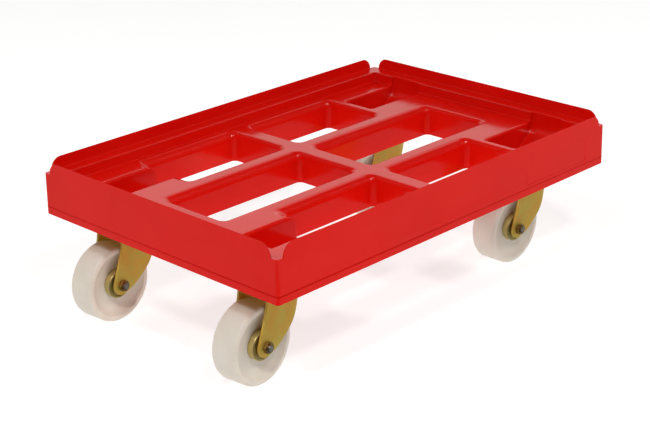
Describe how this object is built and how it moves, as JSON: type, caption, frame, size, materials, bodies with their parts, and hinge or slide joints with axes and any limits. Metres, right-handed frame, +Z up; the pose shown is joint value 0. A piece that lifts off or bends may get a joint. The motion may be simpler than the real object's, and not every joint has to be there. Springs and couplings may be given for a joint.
{
  "type": "container dolly",
  "caption": "Low rectangular transport dolly: open moulded grid deck with a raised rim that holds a container, on swivel castors with solid nylon wheels.",
  "frame": {"origin": "on the floor under the middle of the whole object's footprint", "axes": "+X along the deck's length, the way the dolly is heading when its castors trail; +Y to the left across the deck; +Z up from the floor, square to the deck"},
  "size_m": [0.6419, 0.42, 0.2],
  "materials": {
    "deck_plastic": "smooth moulded, slightly glossy",
    "wheel_nylon": "cast nylon, satin",
    "gold_zinc": "pressed steel, yellow zinc plated",
    "bright_zinc": "bright zinc plated steel"
  },
  "bodies": {
    "dolly": {"deck": "deck_plastic", "front_left_top_plate": "gold_zinc", "front_left_king_pin": "bright_zinc", "front_left_plate_bolt_1": "bright_zinc", "front_left_plate_bolt_2": "bright_zinc", "front_left_plate_bolt_3": "bright_zinc", "front_left_plate_bolt_4": "bright_zinc", "front_right_top_plate": "gold_zinc", "front_right_king_pin": "bright_zinc", "front_right_plate_bolt_1": "bright_zinc", "front_right_plate_bolt_2": "bright_zinc", "front_right_plate_bolt_3": "bright_zinc", "front_right_plate_bolt_4": "bright_zinc", "rear_left_top_plate": "gold_zinc", "rear_left_king_pin": "bright_zinc", "rear_left_plate_bolt_1": "bright_zinc", "rear_left_plate_bolt_2": "bright_zinc", "rear_left_plate_bolt_3": "bright_zinc", "rear_left_plate_bolt_4": "bright_zinc", "rear_right_top_plate": "gold_zinc", "rear_right_king_pin": "bright_zinc", "rear_right_plate_bolt_1": "bright_zinc", "rear_right_plate_bolt_2": "bright_zinc", "rear_right_plate_bolt_3": "bright_zinc", "rear_right_plate_bolt_4": "bright_zinc"},
    "front_left_swivel": {"front_left_fork": "gold_zinc", "front_left_axle_bolt": "bright_zinc", "front_left_axle_nut": "gold_zinc", "front_left_axle_sleeve": "bright_zinc"},
    "front_left_roll": {"front_left_wheel": "wheel_nylon", "front_left_roller_bearing": "bright_zinc", "front_left_hub_cap_left": "gold_zinc", "front_left_hub_cap_right": "gold_zinc"},
    "front_right_swivel": {"front_right_fork": "gold_zinc", "front_right_axle_bolt": "bright_zinc", "front_right_axle_nut": "gold_zinc", "front_right_axle_sleeve": "bright_zinc"},
    "front_right_roll": {"front_right_wheel": "wheel_nylon", "front_right_roller_bearing": "bright_zinc", "front_right_hub_cap_left": "gold_zinc", "front_right_hub_cap_right": "gold_zinc"},
    "rear_left_swivel": {"rear_left_fork": "gold_zinc", "rear_left_axle_bolt": "bright_zinc", "rear_left_axle_nut": "gold_zinc", "rear_left_axle_sleeve": "bright_zinc"},
    "rear_left_roll": {"rear_left_wheel": "wheel_nylon", "rear_left_roller_bearing": "bright_zinc", "rear_left_hub_cap_left": "gold_zinc", "rear_left_hub_cap_right": "gold_zinc"},
    "rear_right_swivel": {"rear_right_fork": "gold_zinc", "rear_right_axle_bolt": "bright_zinc", "rear_right_axle_nut": "gold_zinc", "rear_right_axle_sleeve": "bright_zinc"},
    "rear_right_roll": {"rear_right_wheel": "wheel_nylon", "rear_right_roller_bearing": "bright_zinc", "rear_right_hub_cap_left": "gold_zinc", "rear_right_hub_cap_right": "gold_zinc"}
  },
  "joints": [
    {"name": "front_left_swivel_turn", "type": "hinge", "parent": "dolly", "child": "front_left_swivel", "pos_m": [0.252, 0.13, 0.128], "axis": [0, 0, 1], "continuous": true},
    {"name": "front_left_wheel_roll", "type": "hinge", "parent": "front_left_swivel", "child": "front_left_roll", "pos_m": [0.21205, 0.13209, 0.05], "axis": [0.0523, 0.9986, 0], "continuous": true},
    {"name": "front_right_swivel_turn", "type": "hinge", "parent": "dolly", "child": "front_right_swivel", "pos_m": [0.252, -0.13, 0.128], "axis": [0, 0, 1], "continuous": true},
    {"name": "front_right_wheel_roll", "type": "hinge", "parent": "front_right_swivel", "child": "front_right_roll", "pos_m": [0.212, -0.13, 0.05], "axis": [0, 1, 0], "continuous": true},
    {"name": "rear_left_swivel_turn", "type": "hinge", "parent": "dolly", "child": "rear_left_swivel", "pos_m": [-0.23, 0.13, 0.128], "axis": [0, 0, 1], "continuous": true},
    {"name": "rear_left_wheel_roll", "type": "hinge", "parent": "rear_left_swivel", "child": "rear_left_roll", "pos_m": [-0.26993, 0.12756, 0.05], "axis": [-0.061, 0.9981, 0], "continuous": true},
    {"name": "rear_right_swivel_turn", "type": "hinge", "parent": "dolly", "child": "rear_right_swivel", "pos_m": [-0.23, -0.13, 0.128], "axis": [0, 0, 1], "continuous": true},
    {"name": "rear_right_wheel_roll", "type": "hinge", "parent": "rear_right_swivel", "child": "rear_right_roll", "pos_m": [-0.26988, -0.13314, 0.05], "axis": [-0.0785, 0.9969, 0], "continuous": true}
  ]
}
